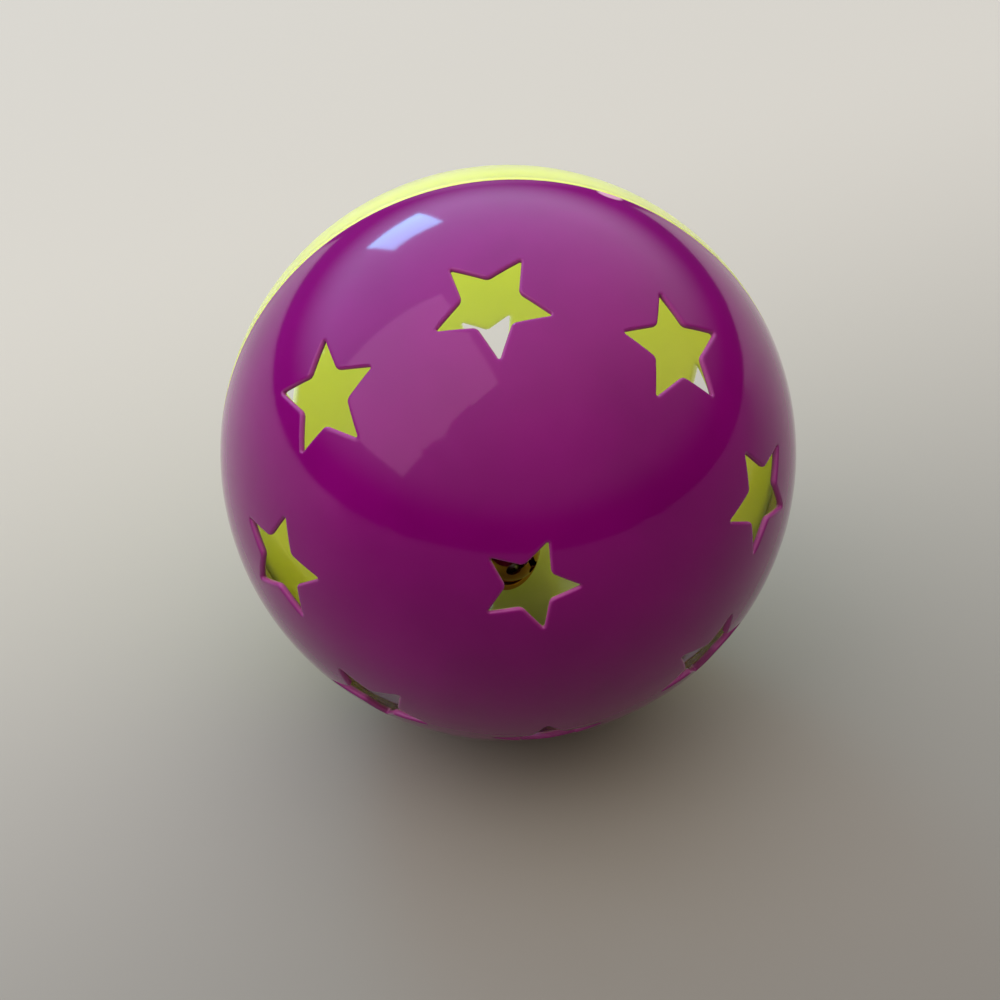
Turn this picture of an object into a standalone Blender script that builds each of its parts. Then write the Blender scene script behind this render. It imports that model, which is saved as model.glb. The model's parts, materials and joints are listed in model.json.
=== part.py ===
"""Cat toy ball: two star-pierced half shells lapped together round a small loose jingle bell."""
import math

import bmesh
import bpy
from mathutils import Matrix, Vector

MM = 0.001

# Shells
BALL_DIAMETER = 40.0 * MM
WALL = 0.5 * MM
RIM_WALL = 1.2 * MM          # the wall is thicker where the halves lap
LAP_HEIGHT = 1.2 * MM        # how far the lime tongue reaches into the purple half
LAP_GAP = 0.2 * MM           # round the tongue
SEAM_GAP = 0.3 * MM          # between the two rims, and past the tongue's end

# Star holes, the same on both halves
RING_STARS = 8
RING_ANGLE = math.radians(53.0)   # from a half's pole to the ring stars
RING_STAR_TIP = 3.75 * MM         # centre to tip
POLE_STAR_TIP = 3.1 * MM
STAR_WAIST = 0.5                  # inner corner radius over tip radius
STAR_FILLET = 0.55 * MM           # in the inner corners
CUT_MARGIN = 1.0 * MM             # the cutters stand this far past the wall

# How the ball lies
POLE_ELEVATION = math.radians(13.0)   # the purple pole points to -Y and this far up
PURPLE_TURN = math.radians(141.0)     # each half about its own pole
LIME_TURN = math.radians(10.5)
BELL_ANGLE = math.radians(51.5)       # from the lime pole to the bell
BELL_TURN = math.radians(2.0)         # of the bell about the pole, from the lowest line to +X
BELL_SPIN = math.radians(-40.0)       # of the bell's loop, from -X about the wall's normal

# Bell
BELL_DIAMETER = 5.0 * MM
BELL_SHEET = 0.25 * MM
CRIMP_GAP = 0.1 * MM         # between the crimped sheets
FLANGE_WIDTH = 0.2 * MM      # of the lower cup's flange
CRIMP_LIP = 0.48 * MM        # how far the upper cup's rim folds back under the flange
SLOT_WIDTH = 0.6 * MM
SLOT_RIM = 0.35 * MM         # left between a slot's round end and the cup's inside, seen from below
SLOT_END_RADIUS = 0.5 * MM
WIRE_RADIUS = 0.25 * MM
WIRE_GAP = 0.12 * MM         # round the wire in the crown
LOOP_RADIUS = 0.65 * MM      # at the middle of the wire
LOOP_RISE = 0.45 * MM        # crown to the loop's centre
FOOT_DROP = 0.75 * MM        # crown's underside to the splayed feet
FOOT_REACH = 1.15 * MM       # bell axis to the end of a foot
FOOT_BEND = 0.35 * MM
PELLET_RADIUS = 0.7 * MM
PELLET_GAP = 0.12 * MM
BELL_GAP = 0.3 * MM          # bell to the wall it lies on

# Facets
SHELL_SEGMENTS = 48
SHELL_ARC_STEPS = 10
BELL_SEGMENTS = 32
BELL_ARC_STEPS = 7
FILLET_STEPS = 4
BEND_STEPS = 4
LOOP_STEPS = 14
WIRE_RESOLUTION = 2
HOLE_SEGMENTS = 12
SLOT_END_STEPS = 8
PELLET_SUBDIVISIONS = 3
SMOOTH_ANGLE = math.radians(35.0)
WELD = 1e-7                  # merges a turned profile's points on the axis
SEAT_HALVINGS = 60           # of the search for the bell's place

# Worked out from the sizes above
BALL_RADIUS = BALL_DIAMETER / 2
INNER_RADIUS = BALL_RADIUS - WALL
RIM_RADIUS = BALL_RADIUS - RIM_WALL
TONGUE_RADIUS = RIM_RADIUS + (RIM_WALL - LAP_GAP) / 2
SOCKET_RADIUS = TONGUE_RADIUS + LAP_GAP
RIM_TOP = math.sqrt(INNER_RADIUS ** 2 - RIM_RADIUS ** 2)
CUP_RADIUS = BELL_DIAMETER / 2
CUP_INNER = CUP_RADIUS - BELL_SHEET
SLOT_REACH = CUP_INNER - SLOT_RIM - SLOT_END_RADIUS   # bell axis to the round end of a slot
FLANGE_RADIUS = CUP_RADIUS + FLANGE_WIDTH
SKIRT_INNER = FLANGE_RADIUS + CRIMP_GAP
SKIRT_RADIUS = SKIRT_INNER + BELL_SHEET
FLANGE_NEAR = CRIMP_GAP / 2                    # height of a flange's mating face
FLANGE_FAR = FLANGE_NEAR + BELL_SHEET          # and of its other face
LIP_NEAR = FLANGE_FAR + CRIMP_GAP
LIP_FAR = LIP_NEAR + BELL_SHEET
LOOP_CENTRE = CUP_RADIUS + LOOP_RISE
FOOT_HEIGHT = CUP_INNER - FOOT_DROP

ATTITUDE = Matrix.Rotation(math.pi / 2 - POLE_ELEVATION, 4, "X")


def clear_scene():
    for obj in list(bpy.data.objects):
        bpy.data.objects.remove(obj, do_unlink=True)


def plain_material(name, colour, roughness, metallic=0.0):
    material = bpy.data.materials.new(name)
    material.use_nodes = True
    shader = material.node_tree.nodes["Principled BSDF"]
    shader.inputs["Base Color"].default_value = (*colour, 1.0)
    shader.inputs["Roughness"].default_value = roughness
    shader.inputs["Metallic"].default_value = metallic
    return material


def add_object(name, data, parent=None, matrix=None, material=None):
    obj = bpy.data.objects.new(name, data)
    bpy.context.collection.objects.link(obj)
    obj.parent = parent
    if matrix is not None:
        obj.matrix_basis = matrix
    if material is not None:
        data.materials.append(material)
    return obj


def mesh_from(name, bm):
    bmesh.ops.recalc_face_normals(bm, faces=bm.faces)
    mesh = bpy.data.meshes.new(name)
    bm.to_mesh(mesh)
    bm.free()
    mesh.shade_smooth()
    mesh.set_sharp_from_angle(angle=SMOOTH_ANGLE)
    return mesh


def arc(radius, start, end, steps):
    """Points (r, z) on a circle about the origin; angles run from the +Z axis."""
    angles = [start + (end - start) * i / steps for i in range(steps + 1)]
    return [(radius * math.sin(a), radius * math.cos(a)) for a in angles]


def turned(name, profile, segments):
    """Spins a profile of (r, z) points, whose two ends lie on the axis, into a closed body."""
    bm = bmesh.new()
    verts = [bm.verts.new((r, 0.0, z)) for r, z in profile]
    edges = [bm.edges.new(pair) for pair in zip(verts, verts[1:])]
    bmesh.ops.spin(bm, geom=verts + edges, axis=(0, 0, 1), cent=(0, 0, 0),
                   angle=2 * math.pi, steps=segments, use_merge=True)
    bmesh.ops.remove_doubles(bm, verts=bm.verts, dist=WELD)
    return mesh_from(name, bm)


def rounded_corner(before, corner, after, radius, steps):
    """Points of the arc that rounds one corner of an outline."""
    to_before = (before - corner).normalized()
    to_after = (after - corner).normalized()
    half = to_before.angle(to_after) / 2
    centre = corner + (to_before + to_after).normalized() * radius / math.sin(half)
    start = corner + to_before * radius / math.tan(half) - centre
    end = corner + to_after * radius / math.tan(half) - centre
    sweep = start.angle(end)
    return [centre + (start * math.sin(sweep * (1 - t)) + end * math.sin(sweep * t)) / math.sin(sweep)
            for t in (i / steps for i in range(steps + 1))]


def star_outline(tip_radius):
    """A five-pointed star with sharp tips, the first on +X, and rounded inner corners."""
    turn = 2 * math.pi / 5
    tips = [Vector((math.cos(k * turn), math.sin(k * turn), 0)) * tip_radius for k in range(5)]
    points = []
    for k in range(5):
        middle = (k + 0.5) * turn
        waist = Vector((math.cos(middle), math.sin(middle), 0)) * tip_radius * STAR_WAIST
        points.append(tips[k])
        points += rounded_corner(tips[k], waist, tips[(k + 1) % 5], STAR_FILLET, FILLET_STEPS)
    return points


def add_prism(bm, outline, low, high, matrix):
    """Extrudes an outline in the XY plane from one height to another."""
    base = [bm.verts.new(matrix @ (p + Vector((0, 0, low)))) for p in outline]
    face = bm.faces.new(base)
    made = bmesh.ops.extrude_face_region(bm, geom=[face])["geom"]
    lift = matrix.to_3x3() @ Vector((0, 0, high - low))
    bmesh.ops.translate(bm, verts=[v for v in made if isinstance(v, bmesh.types.BMVert)], vec=lift)


def star_cutter(name):
    """The star prisms of one half, each square to the wall, with a tip towards the pole."""
    bm = bmesh.new()
    low = INNER_RADIUS - CUT_MARGIN
    high = BALL_RADIUS + CUT_MARGIN
    add_prism(bm, star_outline(POLE_STAR_TIP), low, high, Matrix.Identity(4))
    for k in range(RING_STARS):
        place = Matrix.Rotation(2 * math.pi * k / RING_STARS, 4, "Z") @ Matrix.Rotation(RING_ANGLE, 4, "Y")
        tip_to_pole = Matrix.Rotation(math.pi, 4, "Z")
        add_prism(bm, star_outline(RING_STAR_TIP), low, high, place @ tip_to_pole)
    return mesh_from(name, bm)


def cut(obj, cutter_name, cutter_mesh):
    cutter = add_object(cutter_name, cutter_mesh, obj)
    cutter.hide_render = True
    cutter.display_type = "WIRE"
    boolean = obj.modifiers.new(cutter_name, "BOOLEAN")
    boolean.operation = "DIFFERENCE"
    boolean.object = cutter


def half_profile(rim):
    """Outer wall from the pole to the seam, then the rim's own steps, then the inner wall."""
    seam = SEAM_GAP / 2
    outer = arc(BALL_RADIUS, 0.0, math.acos(seam / BALL_RADIUS), SHELL_ARC_STEPS)
    inner = arc(INNER_RADIUS, math.acos(RIM_TOP / INNER_RADIUS), 0.0, SHELL_ARC_STEPS)
    return outer + rim + inner


def socket_rim():
    top = LAP_HEIGHT + SEAM_GAP
    return [(SOCKET_RADIUS, SEAM_GAP / 2), (SOCKET_RADIUS, top), (RIM_RADIUS, top)]


def tongue_rim():
    return [(TONGUE_RADIUS, SEAM_GAP / 2), (TONGUE_RADIUS, -LAP_HEIGHT), (RIM_RADIUS, -LAP_HEIGHT)]


def half_shell(name, rim, parent, matrix, material):
    shell = add_object(name, turned(name, half_profile(rim), SHELL_SEGMENTS), parent, matrix, material)
    cut(shell, name + "_stars", star_cutter(name + "_stars"))


def upper_cup(parent, place, material):
    crown = arc(CUP_RADIUS, 0.0, math.acos(FLANGE_FAR / CUP_RADIUS), BELL_ARC_STEPS)
    lip_radius = SKIRT_RADIUS - CRIMP_LIP
    crimp = [(SKIRT_RADIUS, FLANGE_FAR), (SKIRT_RADIUS, -LIP_FAR), (lip_radius, -LIP_FAR),
             (lip_radius, -LIP_NEAR), (SKIRT_INNER, -LIP_NEAR), (SKIRT_INNER, FLANGE_NEAR)]
    inside = arc(CUP_INNER, math.acos(FLANGE_NEAR / CUP_INNER), 0.0, BELL_ARC_STEPS)
    cup = add_object("bell_upper_cup", turned("bell_upper_cup", crown + crimp + inside, BELL_SEGMENTS),
                     parent, place, material)
    bm = bmesh.new()
    for side in (-1, 1):
        bmesh.ops.create_cone(bm, cap_ends=True, segments=HOLE_SEGMENTS, radius1=WIRE_RADIUS + WIRE_GAP,
                              radius2=WIRE_RADIUS + WIRE_GAP, depth=2 * FOOT_DROP,
                              matrix=Matrix.Translation((side * LOOP_RADIUS, 0, CUP_INNER)))
    cut(cup, "crown_holes", mesh_from("crown_holes", bm))


def slot_outline():
    """A slot with a larger round hole at each end, along X."""
    meet = math.asin(SLOT_WIDTH / 2 / SLOT_END_RADIUS)
    points = []
    for turn in (0.0, math.pi):
        centre = Vector((math.cos(turn), math.sin(turn), 0)) * SLOT_REACH
        for i in range(SLOT_END_STEPS + 1):
            a = turn + (math.pi - meet) * (2 * i / SLOT_END_STEPS - 1)
            points.append(centre + Vector((math.cos(a), math.sin(a), 0)) * SLOT_END_RADIUS)
    return points


def lower_cup(parent, place, material):
    outside = [(r, -z) for r, z in arc(CUP_RADIUS, 0.0, math.acos(FLANGE_FAR / CUP_RADIUS), BELL_ARC_STEPS)]
    flange = [(FLANGE_RADIUS, -FLANGE_FAR), (FLANGE_RADIUS, -FLANGE_NEAR)]
    inside = [(r, -z) for r, z in arc(CUP_INNER, math.acos(FLANGE_NEAR / CUP_INNER), 0.0, BELL_ARC_STEPS)]
    cup = add_object("bell_lower_cup", turned("bell_lower_cup", outside + flange + inside, BELL_SEGMENTS),
                     parent, place, material)
    slot_end = math.sqrt(CUP_INNER ** 2 - (SLOT_REACH + SLOT_END_RADIUS) ** 2)
    low = -CUP_RADIUS - CUT_MARGIN
    high = -slot_end + BELL_SHEET / 2
    for name, turn in (("slot_along", 0.0), ("slot_across", math.pi / 2)):
        bm = bmesh.new()
        add_prism(bm, slot_outline(), low, high, Matrix.Rotation(turn, 4, "Z"))
        cut(cup, name, mesh_from(name, bm))


def wire_path():
    """Splayed foot, leg, half circle, leg and splayed foot, in the bell's XZ plane."""
    foot = Vector((-FOOT_REACH, 0, FOOT_HEIGHT))
    corner = Vector((-LOOP_RADIUS, 0, FOOT_HEIGHT))
    shoulder = Vector((-LOOP_RADIUS, 0, LOOP_CENTRE))
    left = [foot] + rounded_corner(foot, corner, shoulder, FOOT_BEND, BEND_STEPS)
    centre = Vector((0, 0, LOOP_CENTRE))
    angles = [math.pi * (1 - i / LOOP_STEPS) for i in range(LOOP_STEPS + 1)]
    bow = [centre + Vector((math.cos(a), 0, math.sin(a))) * LOOP_RADIUS for a in angles]
    right = [Vector((-p.x, 0, p.z)) for p in reversed(left)]
    return left + bow + right


def bell_loop(parent, place, material):
    curve = bpy.data.curves.new("bell_loop", "CURVE")
    curve.dimensions = "3D"
    curve.bevel_depth = WIRE_RADIUS
    curve.bevel_resolution = WIRE_RESOLUTION
    curve.use_fill_caps = True
    path = wire_path()
    spline = curve.splines.new("POLY")
    spline.points.add(len(path) - 1)
    for point, at in zip(spline.points, path):
        point.co = (*at, 1.0)
    add_object("bell_loop", curve, parent, place, material)


def bell_seat():
    """How the bell lies on the round wall: its distance from the ball's centre and the lean of its own
    axis, such that its crimp and its loop both lie BELL_GAP from the wall."""
    floor = INNER_RADIUS - BELL_GAP
    loop_reach = floor - LOOP_RADIUS - WIRE_RADIUS

    def lean_at(distance):
        return math.asin((loop_reach ** 2 - distance ** 2 - LOOP_CENTRE ** 2) / (2 * LOOP_CENTRE * distance))

    def crimp_reach(distance):
        lean = lean_at(distance)
        outward = SKIRT_RADIUS * math.cos(lean) + FLANGE_FAR * math.sin(lean)
        return math.sqrt(distance ** 2 + 2 * distance * outward + SKIRT_RADIUS ** 2 + FLANGE_FAR ** 2)

    # The loop points straight at the wall at the near bound, and along it at the far one.
    near = loop_reach - LOOP_CENTRE
    far = math.sqrt(loop_reach ** 2 - LOOP_CENTRE ** 2)
    for _ in range(SEAT_HALVINGS):
        middle = (near + far) / 2
        if crimp_reach(middle) < floor:
            near = middle
        else:
            far = middle
    return near, lean_at(near)


def bell_place():
    """The bell in the ball's own frame, on the lime half's wall, with its loop leaning to the wall."""
    distance, lean = bell_seat()
    to_wall = Matrix.Rotation(BELL_TURN, 4, "Z") @ Matrix.Rotation(-BELL_ANGLE, 4, "X")
    lying = Matrix.Rotation(BELL_SPIN, 4, "Z") @ Matrix.Rotation(-math.pi / 2 - lean, 4, "Y")
    return to_wall @ Matrix.Translation((0, 0, -distance)) @ lying


def pellet(parent, place, material):
    """Lies on the cups' inner wall at the lowest point of its run round the bell's axis."""
    down = (ATTITUDE @ place).to_3x3().inverted() @ Vector((0, 0, -1))
    lowest = Matrix.Rotation(math.atan2(down.y, down.x), 4, "Z")
    run = Matrix.Translation((CUP_INNER - PELLET_RADIUS - PELLET_GAP, 0, 0))
    bm = bmesh.new()
    bmesh.ops.create_icosphere(bm, subdivisions=PELLET_SUBDIVISIONS, radius=PELLET_RADIUS)
    add_object("bell_pellet", mesh_from("bell_pellet", bm), parent, lowest @ run, material)


def main():
    clear_scene()
    purple = plain_material("purple_plastic", (0.147, 0.003, 0.122), 0.12)
    lime = plain_material("lime_plastic", (0.479, 0.604, 0.065), 0.15)
    cup_brass = plain_material("cup_brass", (0.60, 0.42, 0.13), 0.28, 1.0)
    base_brass = plain_material("base_brass", (0.60, 0.42, 0.13), 0.28, 1.0)
    wire_brass = plain_material("wire_brass", (0.64, 0.46, 0.16), 0.25, 1.0)
    steel = plain_material("pellet_steel", (0.55, 0.55, 0.56), 0.3, 1.0)

    attitude = add_object("ball_attitude", None, None, ATTITUDE)
    half_shell("purple_half", socket_rim(), attitude, Matrix.Rotation(PURPLE_TURN, 4, "Z"), purple)
    flipped = Matrix.Rotation(math.pi, 4, "X") @ Matrix.Rotation(LIME_TURN, 4, "Z")
    half_shell("lime_half", tongue_rim(), attitude, flipped, lime)

    # The bell turns about the pole axis, and the pellet about the bell's own axis.
    place = bell_place()
    bell_swing = add_object("bell_swing", None, attitude)
    pellet_swing = add_object("pellet_swing", None, bell_swing, place)
    upper_cup(bell_swing, place, cup_brass)
    lower_cup(bell_swing, place, base_brass)
    bell_loop(bell_swing, place, wire_brass)
    pellet(pellet_swing, place, steel)


main()
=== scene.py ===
import json
import bpy
import bmesh
import numpy as np
from mathutils import Matrix, Vector


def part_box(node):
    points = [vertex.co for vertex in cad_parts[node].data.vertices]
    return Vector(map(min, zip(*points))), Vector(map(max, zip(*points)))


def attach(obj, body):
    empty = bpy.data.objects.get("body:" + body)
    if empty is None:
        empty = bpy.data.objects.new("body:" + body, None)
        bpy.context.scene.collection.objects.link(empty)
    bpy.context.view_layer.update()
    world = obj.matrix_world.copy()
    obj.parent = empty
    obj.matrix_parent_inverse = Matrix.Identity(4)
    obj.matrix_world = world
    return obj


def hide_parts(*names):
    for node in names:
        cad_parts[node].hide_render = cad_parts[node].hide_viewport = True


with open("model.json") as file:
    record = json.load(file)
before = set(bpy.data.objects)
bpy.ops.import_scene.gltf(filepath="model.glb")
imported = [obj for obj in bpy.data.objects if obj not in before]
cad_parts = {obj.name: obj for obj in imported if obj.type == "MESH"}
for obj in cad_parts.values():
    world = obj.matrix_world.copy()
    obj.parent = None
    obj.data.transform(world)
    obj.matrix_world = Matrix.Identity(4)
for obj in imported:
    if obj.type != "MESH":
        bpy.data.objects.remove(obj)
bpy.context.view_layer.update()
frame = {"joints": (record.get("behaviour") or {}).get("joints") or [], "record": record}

mm = 0.001
joints = {joint["name"]: joint for joint in frame["joints"]}
mounts = {mount["name"]: mount for mount in frame["record"]["mounts"]}
floorHeight = mounts["floor_contact"]["pos_m"][2]

# the ball's own axes, as rows: x to the right, y up along the seam, z along the purple half's pole
pole = np.array(joints["halves_apart"]["axis"])
pole /= np.linalg.norm(pole)
ballAxes = np.stack([[1, 0, 0], np.cross(pole, [1, 0, 0]), pole])

# the bell's axes: z to its loop, y along the wall that it lies on, x away from that wall
bellCentre = np.array(joints["pellet_run"]["pos_m"])
bellAxis = np.array(joints["pellet_run"]["axis"])
bellAxis /= np.linalg.norm(bellAxis)
alongWall = np.cross(bellCentre, bellAxis)
alongWall /= np.linalg.norm(alongWall)
bellAxes = np.stack([np.cross(alongWall, bellAxis), alongWall, bellAxis])
print("frame read, ball radius", round(-floorHeight / mm, 2), "mm")


# meshes

# turn about z by an angle, as a matrix that multiplies rows from the right
def turnZ(angle):
    c, s = np.cos(angle), np.sin(angle)
    return np.array([[c, s, 0], [-s, c, 0], [0, 0, 1]])


# direction at polar angle theta from z and at angle phi about it
def direction(theta, phi):
    theta, phi = np.broadcast_arrays(theta, phi)
    return np.stack([np.sin(theta) * np.cos(phi), np.sin(theta) * np.sin(phi), np.cos(theta)], -1)


# profile of r + i z turned about z: (r cos phi, r sin phi, z), one row for each point of the profile
def turnedGrid(profile, phi):
    r, z = profile.real[:, None], profile.imag[:, None]
    return np.stack([r * np.cos(phi), r * np.sin(phi), z + 0 * phi], -1)


# each corner of an open line in the complex plane becomes an arc that touches both of its sides
def roundedLine(corners, radii, steps=5):
    corners = np.array(corners, complex)
    radii = np.broadcast_to(radii, len(corners) - 2)
    at = corners[1:-1]
    toBefore, toAfter = corners[:-2] - at, corners[2:] - at
    toBefore, toAfter = toBefore / abs(toBefore), toAfter / abs(toAfter)
    half = abs(np.angle(toAfter / toBefore)) / 2
    middle = toBefore + toAfter
    centre = at + middle / abs(middle) * radii / np.sin(half)
    start = at + toBefore * radii / np.tan(half) - centre
    end = at + toAfter * radii / np.tan(half) - centre
    sweep = np.angle(end / start)[:, None] * np.linspace(0, 1, steps + 1)
    arcs = centre[:, None] + start[:, None] * np.exp(1j * sweep)
    return np.concatenate([corners[:1], arcs.ravel(), corners[-1:]])


weld = {"near": 0.001 * mm, "thin": 0.0005 * mm, "crease": np.radians(42)}      # steeper edges stay sharp


# grids whose columns close on themselves, welded into one closed skin; cuts gives each row's share of the painted
# glow on the stars' cut edges
def skin(name, grids, material, cuts=None):
    points = np.concatenate([grid.reshape(-1, 3) for grid in grids])
    quads, first = [], 0
    for grid in grids:
        rows, columns = grid.shape[:2]
        i, j = np.arange(rows - 1)[:, None] * columns, np.arange(columns)
        a, b = first + i + j, first + i + (j + 1) % columns
        quads.append(np.stack([a, b, b + columns, a + columns], -1).reshape(-1, 4))
        first += rows * columns
    mesh = bpy.data.meshes.new(name)
    mesh.from_pydata(points, [], np.concatenate(quads))
    # painted glow on the stars' cut edges, kept as a point attribute
    if cuts:
        shares = np.concatenate([np.repeat(cut, grid.shape[1]) for cut, grid in zip(cuts, grids)])
        mesh.attributes.new("cut", "FLOAT", "POINT").data.foreach_set("value", shares.astype(np.float32))
    work = bmesh.new()
    work.from_mesh(mesh)
    bmesh.ops.remove_doubles(work, verts=work.verts, dist=weld["near"])
    bmesh.ops.dissolve_degenerate(work, edges=work.edges, dist=weld["thin"])
    bmesh.ops.recalc_face_normals(work, faces=work.faces)
    openEdges = sum(not edge.is_manifold for edge in work.edges)
    work.to_mesh(mesh)
    work.free()
    mesh.shade_smooth()
    mesh.set_sharp_from_angle(angle=weld["crease"])
    mesh.materials.append(material)
    piece = bpy.data.objects.new(name, mesh)
    bpy.context.scene.collection.objects.link(piece)
    print(name, len(mesh.polygons), "faces,", openEdges, "open edges")
    return piece


# materials

def startMaterial(name, fixed):
    material = bpy.data.materials.new(name)
    material.use_nodes = True
    shader = material.node_tree.nodes["Principled BSDF"]
    for socket, value in fixed.items():
        shader.inputs[socket].default_value = value
    return material, material.node_tree, shader


# new node; an input is a number, a colour or another node's socket
def node(tree, kind, inputs, **settings):
    made = tree.nodes.new("ShaderNode" + kind)
    for key, value in settings.items():
        setattr(made, key, value)
    for key, value in inputs.items():
        if isinstance(value, bpy.types.NodeSocket):
            tree.links.new(value, made.inputs[key])
        else:
            made.inputs[key].default_value = value
    return made


noiseSpan = (0.3, 0.7)      # most of a noise texture's values lie in here


# noise on Object coordinates, spread to the range low..high
def noise(tree, place, scale, low, high, detail=3, stretch=(1, 1, 1)):
    mapped = node(tree, "Mapping", {"Vector": place, "Scale": stretch})
    made = node(tree, "TexNoise", {"Vector": mapped.outputs[0], "Scale": scale, "Detail": detail})
    spread = node(tree, "MapRange", {"Value": made.outputs["Fac"], "From Min": noiseSpan[0],
                                     "From Max": noiseSpan[1], "To Min": low, "To Max": high})
    return spread.outputs["Result"]


purpleLook = {
    "deep": (0.170, 0.0003, 0.112, 1), "bright": (0.204, 0.0005, 0.135, 1),
    "cut": (0.44, 0.09, 0.29, 1),      # painted glow: a paler colour on the stars' cut edges, standing in for light through the thin plastic there
    # pale mark where the sprue was cut off the rim, with its soft edge in shares of its size
    "gate": {"about": np.radians(69.5), "above": 0.40 * mm, "size": (0.90 * mm, 0.60 * mm, 0.6 * mm),
             "edge": (1.1, 0.8), "colour": (0.66, 0.33, 0.44, 1)},
    "clouds": 130,            # pigment clouds, per metre
    "gloss": (0.05, 0.10),    # least and most roughness
    "fixed": {"IOR": 1.43, "Specular Tint": (1.0, 0.58, 0.95, 1), "Subsurface Weight": 0.25,
              "Subsurface Radius": (1.0, 0.1, 0.7), "Subsurface Scale": 0.7 * mm},
}
limeLook = {
    "deep": (0.72, 0.85, 0.125, 1), "bright": (0.78, 0.89, 0.165, 1),
    # painted glow on the stars' cut edges, as on the purple half
    "cut": (0.80, 0.88, 0.32, 1), "clouds": 110, "gloss": (0.14, 0.24),
    "fixed": {"IOR": 1.5, "Subsurface Weight": 1.0, "Subsurface Radius": (1.0, 1.0, 0.42),
              "Subsurface Scale": 4.6 * mm},
}
moulding = {"smears": 210, "waves": 95, "waveHeight": 0.012 * mm}      # uneven gloss and waviness, per metre


# 1 inside an ellipsoid whose axes lie along the rim, along the pole and out of the ball, 0 outside it
def gateMark(tree, place, gate):
    out = np.cos(gate["about"]) * ballAxes[0] + np.sin(gate["about"]) * ballAxes[1]
    turn = Matrix(np.stack([np.cross(pole, out), pole, out], 1)).to_euler()
    spot = Vector(out * -floorHeight + pole * gate["above"])
    inside = node(tree, "Mapping", {"Vector": place, "Location": spot, "Rotation": turn, "Scale": gate["size"]},
                  vector_type="TEXTURE")
    far = node(tree, "VectorMath", {0: inside.outputs[0]}, operation="LENGTH")
    mark = node(tree, "MapRange", {"Value": far.outputs["Value"], "From Min": gate["edge"][0],
                                   "From Max": gate["edge"][1]})
    return mark.outputs["Result"]


def mouldedPlastic(name, look):
    material, tree, shader = startMaterial(name, look["fixed"])
    place = node(tree, "TexCoord", {}).outputs["Object"]
    clouds = noise(tree, place, look["clouds"], 0, 1)
    colour = node(tree, "Mix", {"Factor": clouds, "A": look["deep"], "B": look["bright"]}, data_type="RGBA")
    # painted glow: the stars' cut edges are mixed towards a paler colour
    cut = node(tree, "Attribute", {}, attribute_name="cut")
    colour = node(tree, "Mix", {"Factor": cut.outputs["Fac"], "A": colour.outputs["Result"], "B": look["cut"]},
                  data_type="RGBA")
    if "gate" in look:
        colour = node(tree, "Mix", {"Factor": gateMark(tree, place, look["gate"]), "A": colour.outputs["Result"],
                                    "B": look["gate"]["colour"]}, data_type="RGBA")
    tree.links.new(colour.outputs["Result"], shader.inputs["Base Color"])
    smears = noise(tree, place, moulding["smears"], *look["gloss"], detail=5)
    tree.links.new(smears, shader.inputs["Roughness"])
    waves = noise(tree, place, moulding["waves"], 0, 1, detail=2)
    bump = node(tree, "Bump", {"Height": waves, "Distance": moulding["waveHeight"], "Strength": 1.0})
    tree.links.new(bump.outputs["Normal"], shader.inputs["Normal"])
    return material


brassLook = {"fresh": (0.70, 0.34, 0.13, 1), "dull": (0.46, 0.19, 0.07, 1), "gloss": (0.06, 0.16)}
steelLook = {"fresh": (0.60, 0.60, 0.61, 1), "dull": (0.40, 0.39, 0.38, 1), "gloss": (0.22, 0.42)}
wear = {"tarnish": 420, "smears": 900, "scratches": 700, "depth": 0.002 * mm, "strength": 0.8}      # per metre


def wornMetal(name, look, grain):
    material, tree, shader = startMaterial(name, {"Metallic": 1.0})
    place = node(tree, "TexCoord", {}).outputs["Object"]
    tarnish = noise(tree, place, wear["tarnish"], 0, 1, detail=6)
    colour = node(tree, "Mix", {"Factor": tarnish, "A": look["fresh"], "B": look["dull"]}, data_type="RGBA")
    tree.links.new(colour.outputs["Result"], shader.inputs["Base Color"])
    smears = noise(tree, place, wear["smears"], *look["gloss"], detail=6)
    tree.links.new(smears, shader.inputs["Roughness"])
    scratches = noise(tree, place, wear["scratches"], 0, 1, detail=8, stretch=grain)
    bump = node(tree, "Bump", {"Height": scratches, "Distance": wear["depth"], "Strength": wear["strength"]})
    tree.links.new(bump.outputs["Normal"], shader.inputs["Normal"])
    return material


purplePlastic = mouldedPlastic("purplePlastic", purpleLook)
limePlastic = mouldedPlastic("limePlastic", limeLook)
cupBrass = wornMetal("cupBrass", brassLook, (1, 1, 4))
baseBrass = wornMetal("baseBrass", brassLook, (4, 1, 1))
wireBrass = wornMetal("wireBrass", brassLook, (1, 5, 1))
pelletSteel = wornMetal("pelletSteel", steelLook, (1, 1, 1))
print("materials made")


# half shells

shell = {
    "radius": -floorHeight, "wall": 0.5 * mm, "rimWall": 1.2 * mm,
    "lapHeight": 1.2 * mm, "lapGap": 0.2 * mm, "lapEnd": 0.1 * mm, "seamGap": 0.14 * mm,
    "rimRound": 0.16 * mm,        # rounding of the rim's edges
    "stars": 8, "ringAngle": np.radians(53.0),
    "ringTip": 3.75 * mm, "poleTip": 3.1 * mm, "waist": 0.5,
    "tipRound": 0.09 * mm, "waistRound": 0.55 * mm,
    "edgeOut": 0.20 * mm, "edgeIn": 0.25 * mm,      # rounding of a star's edges
    "cellTop": np.radians(24), "cellBottom": np.radians(73),
    "poleSteps": (4, 7, 5), "ringSteps": (3, 5, 4),      # points on half an arm: tip, flank, inner corner
    "across": 10, "along": 40,                           # steps over half a cell's width, and down its side
    "purpleTurn": np.radians(141), "limeTurn": np.radians(10.5),
}


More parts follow.
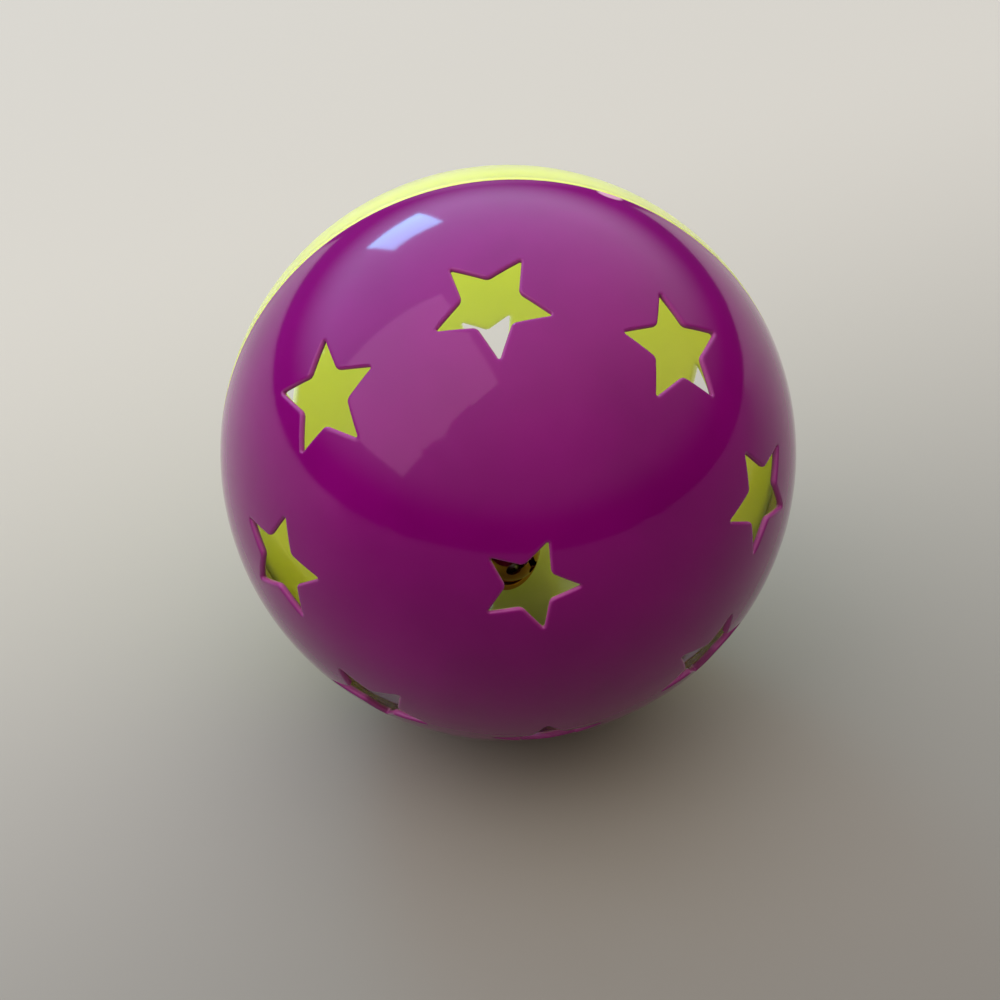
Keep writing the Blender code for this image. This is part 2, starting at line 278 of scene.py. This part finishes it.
# Outline of a five-pointed star as complex points, with unit normals into the plastic. Half an arm is an arc round
# the tip, a straight flank and an arc in the inner corner; it is mirrored in its waist and turned five times.
def starOutline(tip, steps):
    turn = np.pi / 5
    corner = tip * shell["waist"] * np.exp(1j * turn)
    flank = np.angle(tip - corner.conjugate())                   # half the angle of a tip
    tip = tip + shell["tipRound"] * (1 / np.sin(flank) - 1)
    toTip, toWaist = np.pi / 2 - flank, turn
    aroundTip = np.linspace(0, toTip, steps[0] + 1)
    aroundWaist = np.linspace(toTip, toWaist, steps[2] + 1)
    tipArc = tip - shell["tipRound"] / np.sin(flank) + shell["tipRound"] * np.exp(1j * aroundTip)
    waistCentre = corner + shell["waistRound"] / np.sin(flank + turn) * np.exp(1j * turn)
    waistArc = waistCentre - shell["waistRound"] * np.exp(1j * aroundWaist)
    side = tipArc[-1] + (waistArc[0] - tipArc[-1]) * np.linspace(0, 1, steps[1] + 1)[1:-1]
    half = np.concatenate([tipArc, side, waistArc])
    normal = np.exp(1j * np.concatenate([aroundTip, toTip + 0 * side.real, aroundWaist]))
    mirror, arms = np.exp(2j * turn), np.exp(2j * turn * np.arange(5))[:, None]
    outline = np.concatenate([half, half[-2:0:-1].conj() * mirror])
    normal = np.concatenate([normal, normal[-2:0:-1].conj() * mirror])
    return (arms * outline).ravel(), (arms * normal).ravel()


crowding = 1.6      # power that draws a cell's rows towards its hole


# Wall round one hole. In the plane across the hole's axis a point q runs from the cell's edge to the hole's rounded
# edge, through the wall and back out inside; its height is sqrt(radius^2 - |q|^2), so both faces are true spheres.
def holeCell(axis, first, outline, normal, edge, radii, rounds, rows=9):
    second = np.cross(axis, first)
    cell = edge @ first + 1j * (edge @ second)
    outer, inner = radii
    out, into = rounds
    quarter = np.linspace(0, np.pi / 2, 5)[:, None]
    near = np.linspace(0, 1, rows + 1)[:, None] ** crowding
    lip, foot = outline + normal * out, outline + normal * into
    q = np.concatenate([
        lip + (cell * outer - lip) * near[::-1],
        (outline + normal * out * (1 - np.sin(quarter)))[1:],
        outline + normal * into * (1 - np.cos(quarter)),
        (foot + (cell * inner - foot) * near)[1:],
    ])
    radius = np.concatenate([
        outer + 0 * near, (outer - out * (1 - np.cos(quarter)))[1:],
        inner + into * (1 - np.sin(quarter)), (inner + 0 * near)[1:],
    ])
    height = np.sqrt(radius ** 2 - abs(q) ** 2)
    return q.real[..., None] * first + q.imag[..., None] * second + height[..., None] * axis


# share of painted edge glow for each row of such a cell: it rises over the outer rounding and falls over the inner
# one
def cutShare(rows=9):
    return np.concatenate([np.zeros(rows + 1), [0.1, 0.3, 0.6, 0.9], [1, 1, 0.8, 0.4, 0.1], np.zeros(rows)])


# Outline of one ring star's cell, from the middle of its top edge and round past the side of falling phi
def cellEdge(top, bottom, half, across, along):
    phi = np.linspace(0, half, across + 1)
    theta = np.linspace(top, bottom, along + 1)
    pieces = [direction(top, -phi[:-1]), direction(theta[:-1], -half),
              direction(bottom, np.linspace(-half, half, 2 * across + 1)[:-1]),
              direction(theta[:0:-1], half), direction(top, phi[:0:-1])]
    return np.concatenate(pieces)


# One half with its pole on z: a cell round the pole star, eight cells round the ring stars, and a turned rim. The
# columns of all three meet on the same points, so that the weld leaves no seam.
def halfShell(rimLine):
    s = shell
    radii, rounds = (s["radius"], s["radius"] - s["wall"]), (s["edgeOut"], s["edgeIn"])
    half = np.pi / s["stars"]
    phi = np.arange(2 * s["stars"] * s["across"]) * half / s["across"]
    poleStar = starOutline(s["poleTip"], s["poleSteps"])
    grids = [holeCell(np.array([0, 0, 1]), np.array([1, 0, 0]), *poleStar,
                      direction(s["cellTop"], phi), radii, rounds)]
    ringStar = starOutline(s["ringTip"], s["ringSteps"])
    axis, toPole = direction(s["ringAngle"], 0.0), -direction(s["ringAngle"] + np.pi / 2, 0.0)
    edge = cellEdge(s["cellTop"], s["cellBottom"], half, s["across"], s["along"])
    ring = holeCell(axis, toPole, *ringStar, edge, radii, rounds)
    grids += [ring @ turnZ(2 * half * k) for k in range(s["stars"])]
    inner = radii[1] * np.exp(1j * (np.pi / 2 - s["cellBottom"]))
    outer = radii[0] * np.exp(1j * (np.pi / 2 - s["cellBottom"]))
    line = np.concatenate([[inner], rimLine, [outer]])
    return grids + [turnedGrid(line, phi)], [cutShare()] * len(grids) + [np.zeros(len(line))]


# outer face from the seam up to the cells: points of the sphere at even angles
def outerFace(low):
    high = np.pi / 2 - shell["cellBottom"]
    return shell["radius"] * np.exp(1j * np.linspace(np.arcsin(low / shell["radius"]), high, 9))[:-1]


# rim lines as r + i z, from inside to outside
def rimSizes():
    s = shell
    rim, inside = s["radius"] - s["rimWall"], s["radius"] - s["wall"]
    tongue = rim + (s["rimWall"] - s["lapGap"]) / 2
    return rim, tongue, tongue + s["lapGap"], np.sqrt(inside ** 2 - rim ** 2)


def socketRim():
    rim, _, socket, top = rimSizes()
    seam, r = shell["seamGap"] / 2, shell["rimRound"]
    step = shell["lapHeight"] + 2 * seam + shell["lapEnd"]
    inside = [rim + 1j * top, rim + 1j * step, socket + 1j * step, socket + 1j * seam,
              shell["radius"] + 1j * seam, shell["radius"] + 1j * (seam + 2 * r)]
    return np.concatenate([roundedLine(inside, [0.4 * r, 0.4 * r, 0.6 * r, r]), outerFace(seam + 2.2 * r)])


def tongueRim():
    rim, tongue, _, top = rimSizes()
    seam, r, end = shell["seamGap"] / 2, shell["rimRound"], shell["lapHeight"]
    inside = [rim + 1j * top, rim - 1j * end, tongue - 1j * end, tongue + 1j * seam,
              shell["radius"] + 1j * seam, shell["radius"] + 1j * (seam + 2 * r)]
    return np.concatenate([roundedLine(inside, [r, r, 0.4 * r, r]), outerFace(seam + 2.2 * r)])


def makeHalf(name, rimLine, turn, material):
    grids, cuts = halfShell(rimLine)
    return skin(name, [grid @ turn @ ballAxes for grid in grids], material, cuts)


overX = np.diag([1.0, -1.0, -1.0])      # half a turn about x
purpleHalf = makeHalf("purpleHalf", socketRim(), turnZ(shell["purpleTurn"]), purplePlastic)
limeHalf = makeHalf("limeHalf", tongueRim(), turnZ(shell["limeTurn"]) @ overX, limePlastic)
for piece, name in ((purpleHalf, "purple_half"), (limeHalf, "lime_half")):
    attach(piece, name)
    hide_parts(name)
print("half shells made")


# bell

cups = {
    "radius": 2.5 * mm, "sheet": 0.25 * mm, "crimpGap": 0.1 * mm, "flange": 0.2 * mm, "lip": 0.48 * mm,
    "slotWidth": 0.6 * mm, "slotReach": 1.4 * mm, "slotEnd": 0.5 * mm,
    "crown": np.radians(34), "base": np.radians(72),      # where the pierced ends begin, from the bell's axis
    "round": 0.04 * mm,
    "upperNeck": (0.02 * mm, 0.2 * mm), "lowerNeck": (0.01 * mm, 0.15 * mm),      # from flange to dome: out, up
}
wire = {"radius": 0.25 * mm, "gap": 0.12 * mm, "loop": 0.65 * mm, "rise": 0.45 * mm,
        "footDrop": 0.75 * mm, "footReach": 1.15 * mm, "bend": 0.35 * mm}
pelletSize = {"radius": 0.7 * mm}


def placeBell(grid):
    return grid @ bellAxes + bellCentre


# one side of the crown: the half disc x > 0 with a round hole for the wire, edge points in step with the hole's
def crownCell():
    outer, inner = cups["radius"], cups["radius"] - cups["sheet"]
    hole = np.exp(1j * np.linspace(0, 2 * np.pi, 64, endpoint=False))
    outline = wire["loop"] + (wire["radius"] + wire["gap"]) * hole
    quarter, middle = np.linspace(0, np.pi / 2, 21), np.linspace(1, -1, 25) * cups["crown"]
    edge = np.concatenate([direction(cups["crown"], quarter[:-1]),
                           direction(middle[:-1], np.pi / 2), direction(cups["crown"], quarter - np.pi / 2)[:-1]])
    return holeCell(np.array([0, 0, 1]), np.array([1, 0, 0]), outline, hole, edge, (outer, inner),
                    (cups["round"], cups["round"]), rows=6)


# part of a circle about the origin as r + i z, from one height to an angle off the axis or back
def domeLine(radius, low, angle, steps=8):
    return radius * np.exp(1j * np.linspace(np.arcsin(low / radius), np.pi / 2 - angle, steps + 1))


def upperCup():
    c = cups
    inner, near = c["radius"] - c["sheet"], c["crimpGap"] / 2
    far = near + c["sheet"]
    skirtIn = c["radius"] + c["flange"] + c["crimpGap"]
    skirt = skirtIn + c["sheet"]
    lipNear, lip = far + c["crimpGap"], skirt - c["lip"]
    lipFar = lipNear + c["sheet"]
    out, up = c["upperNeck"]
    inside = domeLine(inner, near + c["round"], c["crown"])[::-1]
    outside = domeLine(c["radius"], far + up, c["crown"])
    fold = roundedLine([inside[-1], abs(inside[-1]) + 1j * near, skirtIn + 1j * near, skirtIn - 1j * lipNear,
                        lip - 1j * lipNear, lip - 1j * lipFar, skirt - 1j * lipFar, skirt + 1j * far,
                        c["radius"] + out + 1j * far, outside[0]],
                       np.array([0.4, 1.2, 1.2, 1.2, 2.5, 5.4, 3.6, 1.2]) * c["round"])
    phi = np.linspace(0, 2 * np.pi, 80, endpoint=False)
    body = turnedGrid(np.concatenate([inside[:-1], fold, outside[1:]]), phi)
    return [crownCell(), crownCell() @ turnZ(np.pi), body]


# Crossed slots with round ends, as one outline: half an arm is the arc of the round end and the slot's straight
# side, mirrored at 45 degrees and turned four times. phi spaces the columns so that none cuts across the round end.
def crossOutline():
    c = cups
    meet = np.pi - np.arcsin(c["slotWidth"] / 2 / c["slotEnd"])
    around = np.linspace(0, meet, 11)
    arc = c["slotReach"] + c["slotEnd"] * np.exp(1j * around)
    crotch = c["slotWidth"] / 2 * (1 + 1j)
    side = arc[-1] + (crotch - arc[-1]) * np.linspace(0, 1, 9)[1:]
    half = np.concatenate([arc, side])
    lean = np.concatenate([around[:-1], [(meet + np.pi / 2) / 2], np.full(7, np.pi / 2), [np.pi / 4]])
    phi = np.interp(np.arange(19), [0, 10, 18], np.radians([0, 33, 45]))
    turns = np.arange(4)[:, None] * np.pi / 2
    whole = np.concatenate([half, half[-2:0:-1].conj() * 1j])
    lean = np.concatenate([lean, np.pi / 2 - lean[-2:0:-1]])
    phi = np.concatenate([phi, np.pi / 2 - phi[-2:0:-1]])
    return (whole * np.exp(1j * turns)).ravel(), np.exp(1j * (lean + turns)).ravel(), (phi + turns).ravel()


def lowerCup():
    c = cups
    inner, near = c["radius"] - c["sheet"], c["crimpGap"] / 2
    far, flange = near + c["sheet"], c["radius"] + c["flange"]
    outline, normal, phi = crossOutline()
    cell = holeCell(np.array([0, 0, 1]), np.array([1, 0, 0]), outline, normal, direction(c["base"], phi),
                    (c["radius"], inner), (0.6 * c["round"], 0.6 * c["round"]), rows=5)
    out, up = c["lowerNeck"]
    inside = domeLine(inner, near + c["round"], c["base"], 4)[::-1]
    outside = domeLine(c["radius"], far + up, c["base"], 4)
    fold = roundedLine([inside[-1], abs(inside[-1]) + 1j * near, flange + 1j * near, flange + 1j * far,
                        c["radius"] + out + 1j * far, outside[0]],
                       np.array([0.4, 1.2, 1.2, 1.0]) * c["round"])
    body = turnedGrid(np.concatenate([inside[:-1], fold, outside[1:]]), phi)
    return [cell @ overX, body @ overX]


# A circle carried along the bent wire, which lies in the plane of x and z. The first and last rings shrink to close
# the cut ends.
def wireLoop():
    w = wire
    foot = cups["radius"] - cups["sheet"] - w["footDrop"]
    top = cups["radius"] + w["rise"]
    left = roundedLine([-w["footReach"] + 1j * foot, -w["loop"] + 1j * foot, -w["loop"] + 1j * top], w["bend"], 10)
    bow = 1j * top + w["loop"] * np.exp(1j * np.linspace(np.pi, 0, 33))
    line = np.concatenate([left[:-1], bow, -left[-2::-1].conj()])
    along = np.gradient(line) / abs(np.gradient(line))
    thick = np.full(len(line), w["radius"])
    endIn, endThick = np.array([0, 0, 0.04, 0.12]) * w["radius"], np.array([0, 0.8, 0.95, 1]) * w["radius"]
    line = np.concatenate([line[0] + endIn * along[0], line[1:-1], line[-1] - endIn[::-1] * along[-1]])
    thick = np.concatenate([endThick, thick[1:-1], endThick[::-1]])[:, None]
    along = np.concatenate([np.repeat(along[:1], 4), along[1:-1], np.repeat(along[-1:], 4)])
    turn = np.linspace(0, 2 * np.pi, 24, endpoint=False)
    flat = line[:, None] + 1j * along[:, None] * thick * np.cos(turn)
    return [np.stack([flat.real, thick * np.sin(turn), flat.imag], -1)]


# sphere: radius times the direction at (theta, phi), its poles welded
def pelletBall():
    theta, phi = np.linspace(0, np.pi, 33)[:, None], np.linspace(0, 2 * np.pi, 64, endpoint=False)
    low, high = (np.array(corner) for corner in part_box("bell_pellet"))
    return [pelletSize["radius"] * direction(theta, phi) + (low + high) / 2]


bellPieces = {
    "bellUpperCup": ([placeBell(grid) for grid in upperCup()], cupBrass, "bell_upper_cup", "bell"),
    "bellLowerCup": ([placeBell(grid) for grid in lowerCup()], baseBrass, "bell_lower_cup", "bell"),
    "bellLoop": ([placeBell(grid) for grid in wireLoop()], wireBrass, "bell_loop", "bell"),
    "bellPellet": (pelletBall(), pelletSteel, "bell_pellet", "pellet"),
}
for name, (grids, material, cadNode, body) in bellPieces.items():
    piece = skin(name, grids, material)
    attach(piece, body)
    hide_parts(cadNode)
print("bell made")


# floor, light and camera

room = {
    # the floor's own pale colour at the back, and its colour under painted shade at the front
    "floorBack": (0.455, 0.404, 0.334, 1), "floorShadedFront": (0.156, 0.140, 0.115, 1), "floorHalf": 4.0,
    "paintedShadeFade": (-60 * mm, 70 * mm), "paintedShadeSide": (-0.37, 0.93, 0),      # painted shade: the floor is darker towards the front and right, and pales towards the back and left
    "bright": 2.28, "dim": 0.48,                  # the room is brightest above and behind the ball on its left
    "brightSide": (-0.26, 0.50, 0.83), "edge": (-0.15, 1.25),
    "coolSide": (-0.60, 0.75, 0.28), "coolEdge": (-0.3, 1.0),
    "cool": (0.74, 0.93, 1.24, 1), "warm": (1.08, 1.0, 0.86, 1),
    "horizon": (0.12, 0.44), "low": 0.05,        # and dims towards the horizon, to this share
    "window": {"centre": (-0.341, 0.816, 0.466), "size": (0.25, 0.22), "brightness": 11.0,
               "colour": (0.20, 0.68, 1.0)},
    "wall": {"centre": (-0.62, -0.22, 0.75), "size": (0.90, 1.00), "brightness": 1.45,
             "colour": (1.0, 0.86, 0.80)},
}


# smooth or even rise of a value over an edge from one number to another
def overEdge(tree, value, edge, ends=(0.0, 1.0), shape="SMOOTHSTEP"):
    made = node(tree, "MapRange", {"Value": value, "From Min": edge[0], "From Max": edge[1],
                                   "To Min": ends[0], "To Max": ends[1]}, interpolation_type=shape)
    return made.outputs["Result"]


# cosine between a vector and a fixed direction, or a length along it
def alongSide(tree, vector, side):
    return node(tree, "VectorMath", {0: vector, 1: side}, operation="DOT_PRODUCT").outputs["Value"]


def addFloor():
    mesh = bpy.data.meshes.new("floor")
    h = room["floorHalf"]
    corners = [(-h, -h), (h, -h), (h, h), (-h, h)]
    mesh.from_pydata([(x, y, floorHeight) for x, y in corners], [], [(0, 1, 2, 3)])
    material, tree, shader = startMaterial("floorWithPaintedShade", {"Roughness": 0.8})
    place = node(tree, "TexCoord", {}).outputs["Object"]
    # painted shade: the floor darkens from its pale colour towards the front and right
    paintedShadeFade = overEdge(tree, alongSide(tree, place, room["paintedShadeSide"]), room["paintedShadeFade"])
    colour = node(tree, "Mix", {"Factor": paintedShadeFade, "A": room["floorShadedFront"], "B": room["floorBack"]}, data_type="RGBA")
    tree.links.new(colour.outputs["Result"], shader.inputs["Base Color"])
    mesh.materials.append(material)
    floor = bpy.data.objects.new("floor", mesh)
    bpy.context.scene.collection.objects.link(floor)


# Brightness by a direction's cosine with the bright side, with a soft edge between dim and bright, times a rise
# with height; colour by its cosine with the cool side.
def addRoom():
    world = bpy.data.worlds.new("room")
    world.use_nodes = True
    tree = world.node_tree
    background = tree.nodes["Background"]
    sight = node(tree, "TexCoord", {}).outputs["Generated"]
    glow = overEdge(tree, alongSide(tree, sight, room["brightSide"]), room["edge"], (room["dim"], room["bright"]))
    rise = overEdge(tree, alongSide(tree, sight, (0, 0, 1)), room["horizon"], (room["low"], 1.0))
    light = node(tree, "Math", {0: glow, 1: rise}, operation="MULTIPLY")
    tree.links.new(light.outputs["Value"], background.inputs["Strength"])
    cool = overEdge(tree, alongSide(tree, sight, room["coolSide"]), room["coolEdge"], shape="LINEAR")
    tint = node(tree, "Mix", {"Factor": cool, "A": room["warm"], "B": room["cool"]}, data_type="RGBA")
    tree.links.new(tint.outputs["Result"], background.inputs["Color"])
    bpy.context.scene.world = world


# a flat softbox that faces the ball; power gives it the wanted brightness over its own area
def addSoftbox(name, centre, size, brightness, colour):
    lamp = bpy.data.lights.new(name, "AREA")
    lamp.shape, lamp.size, lamp.size_y = "RECTANGLE", *size
    lamp.energy = brightness * np.pi * size[0] * size[1]
    lamp.color = colour
    box = bpy.data.objects.new(name, lamp)
    box.location = centre
    box.rotation_mode = "QUATERNION"
    box.rotation_quaternion = (-Vector(centre)).to_track_quat("-Z", "Y")
    bpy.context.scene.collection.objects.link(box)


addFloor()
addRoom()
addSoftbox("window", **room["window"])
addSoftbox("wall", **room["wall"])

# focal length and the ball's place off the middle, in pixels of a picture this wide
photo = {"elevation": np.radians(37.7), "azimuth": np.radians(-4.2), "distance": 156.0 * mm,
         "pixels": 2228.0, "offset": (8.0, 46.5), "width": 1000, "clip": (1 * mm, 20.0)}


def addCamera():
    p = photo
    e, a = p["elevation"], p["azimuth"]
    back = Vector((np.sin(a) * np.cos(e), -np.cos(a) * np.cos(e), np.sin(e)))
    right = Vector((0, 0, 1)).cross(back).normalized()
    up = back.cross(right)
    aim = -back - right * p["offset"][0] / p["pixels"] - up * p["offset"][1] / p["pixels"]
    lens = bpy.data.cameras.new("camera")
    lens.lens = lens.sensor_width * p["pixels"] / p["width"]
    lens.clip_start, lens.clip_end = p["clip"]
    camera = bpy.data.objects.new("camera", lens)
    camera.rotation_mode = "QUATERNION"
    camera.rotation_quaternion = aim.to_track_quat("-Z", "Y")
    camera.location = back * p["distance"]
    bpy.context.scene.collection.objects.link(camera)
    bpy.context.scene.camera = camera


addCamera()
bpy.context.scene.view_settings.view_transform = "Standard"
print("stage made")
